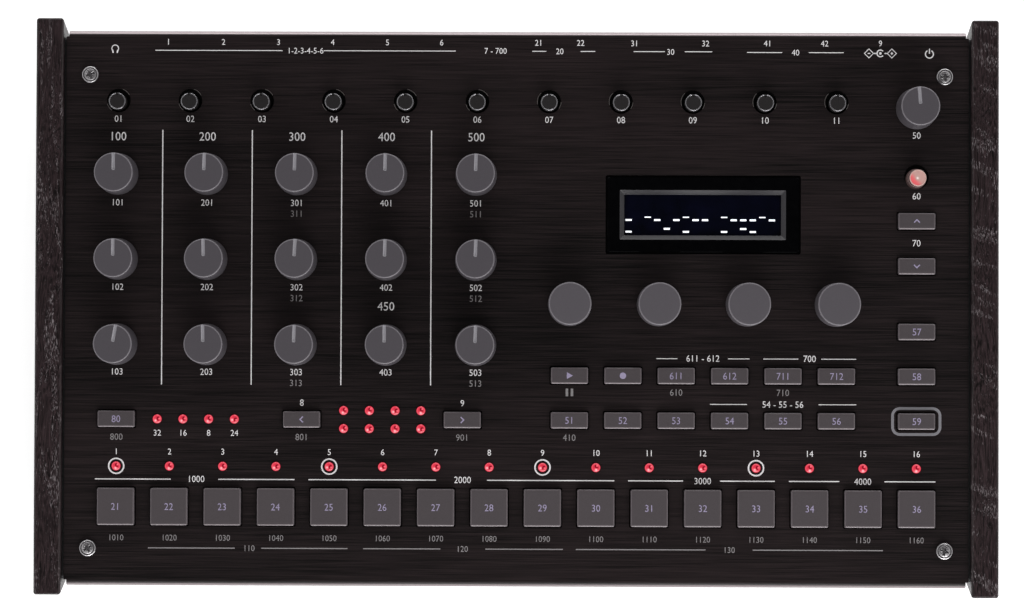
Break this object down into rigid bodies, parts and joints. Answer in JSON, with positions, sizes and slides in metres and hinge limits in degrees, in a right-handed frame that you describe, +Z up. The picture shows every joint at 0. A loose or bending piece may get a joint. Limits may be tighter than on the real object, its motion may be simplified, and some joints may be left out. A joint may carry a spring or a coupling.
{
  "type": "drum machine",
  "caption": "Desktop drum machine: a folded black cover with knobs, step keys, lamps and a display, between two dark wooden cheeks, with sockets along the rear.",
  "frame": {"origin": "on the table, under the middle of the wooden cheeks", "axes": "+X to the player's right, along the row of step keys; +Y to the rear, where the sockets are; +Z up"},
  "size_m": [0.328, 0.1953, 0.0571],
  "materials": {
    "cover": "black anodised, brushed from side to side",
    "case_plastic": "fine moulded texture",
    "cheek_wood": "dark stained open-pore oak, oiled",
    "screws": "dark nickel plated",
    "feet": "matt",
    "bezel": "polished black",
    "screen": "dark blue polarised glass",
    "board": "solder mask on glass epoxy",
    "pot_metal": "tinned",
    "switch_plastic": "moulded",
    "lamp_red": "clear dome, red diffused",
    "socket_nickel": "nickel plated nuts and sleeves, black moulded bodies",
    "socket_black": "moulded",
    "usb_shell": "nickel plated",
    "knob_rubber": "soft-touch dark grey",
    "knob_smoke": "smoky translucent",
    "key_plastic": "fine moulded texture"
  },
  "bodies": {
    "case": {"top_panel": "cover", "lower_case": "case_plastic", "left_cheek": "cheek_wood", "right_cheek": "cheek_wood", "case_screws": "screws", "rubber_feet": "feet", "display_bezel": "bezel", "display_module": "screen", "panel_board": "board", "jack_board": "board", "pot_bodies": "pot_metal", "push_switches": "switch_plastic", "indicator_lamps": "lamp_red", "phone_jacks": "socket_nickel", "sync_jacks": "socket_nickel", "midi_sockets": "socket_black", "usb_sockets": "usb_shell", "dc_socket": "socket_black"},
    "bass_drive_knob": {"bass_drive_knob": "knob_rubber"},
    "snare_snap_knob": {"snare_snap_knob": "knob_rubber"},
    "toms_detune_knob": {"toms_detune_knob": "knob_rubber"},
    "clap_decay_knob": {"clap_decay_knob": "knob_rubber"},
    "sample_tune_knob": {"sample_tune_knob": "knob_rubber"},
    "bass_tune_knob": {"bass_tune_knob": "knob_rubber"},
    "snare_tune_knob": {"snare_tune_knob": "knob_rubber"},
    "toms_tune_knob": {"toms_tune_knob": "knob_rubber"},
    "open_hat_decay_knob": {"open_hat_decay_knob": "knob_rubber"},
    "sample_decay_knob": {"sample_decay_knob": "knob_rubber"},
    "bass_decay_knob": {"bass_decay_knob": "knob_rubber"},
    "snare_decay_knob": {"snare_decay_knob": "knob_rubber"},
    "toms_decay_knob": {"toms_decay_knob": "knob_rubber"},
    "closed_hat_decay_knob": {"closed_hat_decay_knob": "knob_rubber"},
    "sample_attack_knob": {"sample_attack_knob": "knob_rubber"},
    "volume_knob": {"volume_knob": "knob_rubber"},
    "level_knob_01": {"level_knob_01": "knob_rubber"},
    "level_knob_02": {"level_knob_02": "knob_rubber"},
    "level_knob_03": {"level_knob_03": "knob_rubber"},
    "level_knob_04": {"level_knob_04": "knob_rubber"},
    "level_knob_05": {"level_knob_05": "knob_rubber"},
    "level_knob_06": {"level_knob_06": "knob_rubber"},
    "level_knob_07": {"level_knob_07": "knob_rubber"},
    "level_knob_08": {"level_knob_08": "knob_rubber"},
    "level_knob_09": {"level_knob_09": "knob_rubber"},
    "level_knob_10": {"level_knob_10": "knob_rubber"},
    "level_knob_11": {"level_knob_11": "knob_rubber"},
    "tempo_knob": {"tempo_knob": "knob_smoke"},
    "encoder_knob_1": {"encoder_knob_1": "knob_rubber"},
    "encoder_knob_2": {"encoder_knob_2": "knob_rubber"},
    "encoder_knob_3": {"encoder_knob_3": "knob_rubber"},
    "encoder_knob_4": {"encoder_knob_4": "knob_rubber"},
    "step_keys_1_4": {"step_keys_1_4": "key_plastic"},
    "step_keys_5_8": {"step_keys_5_8": "key_plastic"},
    "step_keys_9_12": {"step_keys_9_12": "key_plastic"},
    "step_keys_13_16": {"step_keys_13_16": "key_plastic"},
    "transport_buttons": {"transport_buttons": "key_plastic"},
    "pattern_buttons": {"pattern_buttons": "key_plastic"},
    "kit_buttons": {"kit_buttons": "key_plastic"},
    "cursor_buttons": {"cursor_buttons": "key_plastic"},
    "side_buttons": {"side_buttons": "key_plastic"},
    "power_button": {"power_button": "key_plastic"}
  },
  "joints": [
    {"name": "bass_drive_knob_turn", "type": "hinge", "parent": "case", "child": "bass_drive_knob", "pos_m": [-0.13615, -0.01263, 0.03436], "axis": [0, -0.1132, 0.9936], "range_deg": [-140, 160]},
    {"name": "snare_snap_knob_turn", "type": "hinge", "parent": "case", "child": "snare_snap_knob", "pos_m": [-0.10558, -0.01263, 0.03436], "axis": [0, -0.1132, 0.9936], "range_deg": [-151, 149]},
    {"name": "toms_detune_knob_turn", "type": "hinge", "parent": "case", "child": "toms_detune_knob", "pos_m": [-0.07501, -0.01263, 0.03436], "axis": [0, -0.1132, 0.9936], "range_deg": [-148, 152]},
    {"name": "clap_decay_knob_turn", "type": "hinge", "parent": "case", "child": "clap_decay_knob", "pos_m": [-0.04444, -0.01263, 0.03436], "axis": [0, -0.1132, 0.9936], "range_deg": [-150, 150]},
    {"name": "sample_tune_knob_turn", "type": "hinge", "parent": "case", "child": "sample_tune_knob", "pos_m": [-0.01387, -0.01263, 0.03436], "axis": [0, -0.1132, 0.9936], "range_deg": [-148, 152]},
    {"name": "bass_tune_knob_turn", "type": "hinge", "parent": "case", "child": "bass_tune_knob", "pos_m": [-0.13615, 0.01618, 0.03765], "axis": [0, -0.1132, 0.9936], "range_deg": [-150, 150]},
    {"name": "snare_tune_knob_turn", "type": "hinge", "parent": "case", "child": "snare_tune_knob", "pos_m": [-0.10558, 0.01618, 0.03765], "axis": [0, -0.1132, 0.9936], "range_deg": [-151, 149]},
    {"name": "toms_tune_knob_turn", "type": "hinge", "parent": "case", "child": "toms_tune_knob", "pos_m": [-0.07501, 0.01618, 0.03765], "axis": [0, -0.1132, 0.9936], "range_deg": [-146.5, 153.5]},
    {"name": "open_hat_decay_knob_turn", "type": "hinge", "parent": "case", "child": "open_hat_decay_knob", "pos_m": [-0.04444, 0.01618, 0.03765], "axis": [0, -0.1132, 0.9936], "range_deg": [-149, 151]},
    {"name": "sample_decay_knob_turn", "type": "hinge", "parent": "case", "child": "sample_decay_knob", "pos_m": [-0.01387, 0.01618, 0.03765], "axis": [0, -0.1132, 0.9936], "range_deg": [-148, 152]},
    {"name": "bass_decay_knob_turn", "type": "hinge", "parent": "case", "child": "bass_decay_knob", "pos_m": [-0.13615, 0.04499, 0.04093], "axis": [0, -0.1132, 0.9936], "range_deg": [-150, 150]},
    {"name": "snare_decay_knob_turn", "type": "hinge", "parent": "case", "child": "snare_decay_knob", "pos_m": [-0.10558, 0.04499, 0.04093], "axis": [0, -0.1132, 0.9936], "range_deg": [-148.5, 151.5]},
    {"name": "toms_decay_knob_turn", "type": "hinge", "parent": "case", "child": "toms_decay_knob", "pos_m": [-0.07501, 0.04499, 0.04093], "axis": [0, -0.1132, 0.9936], "range_deg": [-148.5, 151.5]},
    {"name": "closed_hat_decay_knob_turn", "type": "hinge", "parent": "case", "child": "closed_hat_decay_knob", "pos_m": [-0.04444, 0.04499, 0.04093], "axis": [0, -0.1132, 0.9936], "range_deg": [-149, 151]},
    {"name": "sample_attack_knob_turn", "type": "hinge", "parent": "case", "child": "sample_attack_knob", "pos_m": [-0.01387, 0.04499, 0.04093], "axis": [0, -0.1132, 0.9936], "range_deg": [-148, 152]},
    {"name": "volume_knob_turn", "type": "hinge", "parent": "case", "child": "volume_knob", "pos_m": [0.13615, 0.06796, 0.04355], "axis": [0, -0.1132, 0.9936], "range_deg": [-154.5, 145.5]},
    {"name": "level_knob_01_turn", "type": "hinge", "parent": "case", "child": "level_knob_01", "pos_m": [-0.13597, 0.06947, 0.04372], "axis": [0, -0.1132, 0.9936], "range_deg": [-150, 150]},
    {"name": "level_knob_02_turn", "type": "hinge", "parent": "case", "child": "level_knob_02", "pos_m": [-0.11148, 0.06947, 0.04372], "axis": [0, -0.1132, 0.9936], "range_deg": [-150, 150]},
    {"name": "level_knob_03_turn", "type": "hinge", "parent": "case", "child": "level_knob_03", "pos_m": [-0.08699, 0.06947, 0.04372], "axis": [0, -0.1132, 0.9936], "range_deg": [-150, 150]},
    {"name": "level_knob_04_turn", "type": "hinge", "parent": "case", "child": "level_knob_04", "pos_m": [-0.0625, 0.06947, 0.04372], "axis": [0, -0.1132, 0.9936], "range_deg": [-150, 150]},
    {"name": "level_knob_05_turn", "type": "hinge", "parent": "case", "child": "level_knob_05", "pos_m": [-0.03801, 0.06947, 0.04372], "axis": [0, -0.1132, 0.9936], "range_deg": [-150, 150]},
    {"name": "level_knob_06_turn", "type": "hinge", "parent": "case", "child": "level_knob_06", "pos_m": [-0.01352, 0.06947, 0.04372], "axis": [0, -0.1132, 0.9936], "range_deg": [-150, 150]},
    {"name": "level_knob_07_turn", "type": "hinge", "parent": "case", "child": "level_knob_07", "pos_m": [0.01097, 0.06947, 0.04372], "axis": [0, -0.1132, 0.9936], "range_deg": [-150, 150]},
    {"name": "level_knob_08_turn", "type": "hinge", "parent": "case", "child": "level_knob_08", "pos_m": [0.03545, 0.06947, 0.04372], "axis": [0, -0.1132, 0.9936], "range_deg": [-150, 150]},
    {"name": "level_knob_09_turn", "type": "hinge", "parent": "case", "child": "level_knob_09", "pos_m": [0.05994, 0.06947, 0.04372], "axis": [0, -0.1132, 0.9936], "range_deg": [-150, 150]},
    {"name": "level_knob_10_turn", "type": "hinge", "parent": "case", "child": "level_knob_10", "pos_m": [0.08443, 0.06947, 0.04372], "axis": [0, -0.1132, 0.9936], "range_deg": [-150, 150]},
    {"name": "level_knob_11_turn", "type": "hinge", "parent": "case", "child": "level_knob_11", "pos_m": [0.10892, 0.06947, 0.04372], "axis": [0, -0.1132, 0.9936], "range_deg": [-150, 150]},
    {"name": "tempo_knob_turn", "type": "hinge", "parent": "case", "child": "tempo_knob", "pos_m": [0.13615, 0.04428, 0.04085], "axis": [0, -0.1132, 0.9936], "range_deg": [-150, 150]},
    {"name": "encoder_knob_1_turn", "type": "hinge", "parent": "case", "child": "encoder_knob_1", "pos_m": [0.01815, 0.00139, 0.03596], "axis": [0, -0.1132, 0.9936], "continuous": true},
    {"name": "encoder_knob_2_turn", "type": "hinge", "parent": "case", "child": "encoder_knob_2", "pos_m": [0.04841, 0.00139, 0.03596], "axis": [0, -0.1132, 0.9936], "continuous": true},
    {"name": "encoder_knob_3_turn", "type": "hinge", "parent": "case", "child": "encoder_knob_3", "pos_m": [0.07866, 0.00139, 0.03596], "axis": [0, -0.1132, 0.9936], "continuous": true},
    {"name": "encoder_knob_4_turn", "type": "hinge", "parent": "case", "child": "encoder_knob_4", "pos_m": [0.10892, 0.00139, 0.03596], "axis": [0, -0.1132, 0.9936], "continuous": true},
    {"name": "step_keys_1_4_press", "type": "slide", "parent": "case", "child": "step_keys_1_4", "axis": [0, 0.1132, -0.9936], "range_m": [0, 0.001], "stiffness_N_per_m": 600, "springref_m": -0.001},
    {"name": "step_keys_5_8_press", "type": "slide", "parent": "case", "child": "step_keys_5_8", "axis": [0, 0.1132, -0.9936], "range_m": [0, 0.001], "stiffness_N_per_m": 600, "springref_m": -0.001},
    {"name": "step_keys_9_12_press", "type": "slide", "parent": "case", "child": "step_keys_9_12", "axis": [0, 0.1132, -0.9936], "range_m": [0, 0.001], "stiffness_N_per_m": 600, "springref_m": -0.001},
    {"name": "step_keys_13_16_press", "type": "slide", "parent": "case", "child": "step_keys_13_16", "axis": [0, 0.1132, -0.9936], "range_m": [0, 0.001], "stiffness_N_per_m": 600, "springref_m": -0.001},
    {"name": "transport_buttons_press", "type": "slide", "parent": "case", "child": "transport_buttons", "axis": [0, 0.1132, -0.9936], "range_m": [0, 0.001], "stiffness_N_per_m": 600, "springref_m": -0.001},
    {"name": "pattern_buttons_press", "type": "slide", "parent": "case", "child": "pattern_buttons", "axis": [0, 0.1132, -0.9936], "range_m": [0, 0.001], "stiffness_N_per_m": 600, "springref_m": -0.001},
    {"name": "kit_buttons_press", "type": "slide", "parent": "case", "child": "kit_buttons", "axis": [0, 0.1132, -0.9936], "range_m": [0, 0.001], "stiffness_N_per_m": 600, "springref_m": -0.001},
    {"name": "cursor_buttons_press", "type": "slide", "parent": "case", "child": "cursor_buttons", "axis": [0, 0.1132, -0.9936], "range_m": [0, 0.001], "stiffness_N_per_m": 600, "springref_m": -0.001},
    {"name": "side_buttons_press", "type": "slide", "parent": "case", "child": "side_buttons", "axis": [0, 0.1132, -0.9936], "range_m": [0, 0.001], "stiffness_N_per_m": 600, "springref_m": -0.001},
    {"name": "power_button_press", "type": "slide", "parent": "case", "child": "power_button", "axis": [0, -0.989, 0.1478], "range_m": [0, 0.002], "stiffness_N_per_m": 400, "springref_m": -0.002}
  ]
}
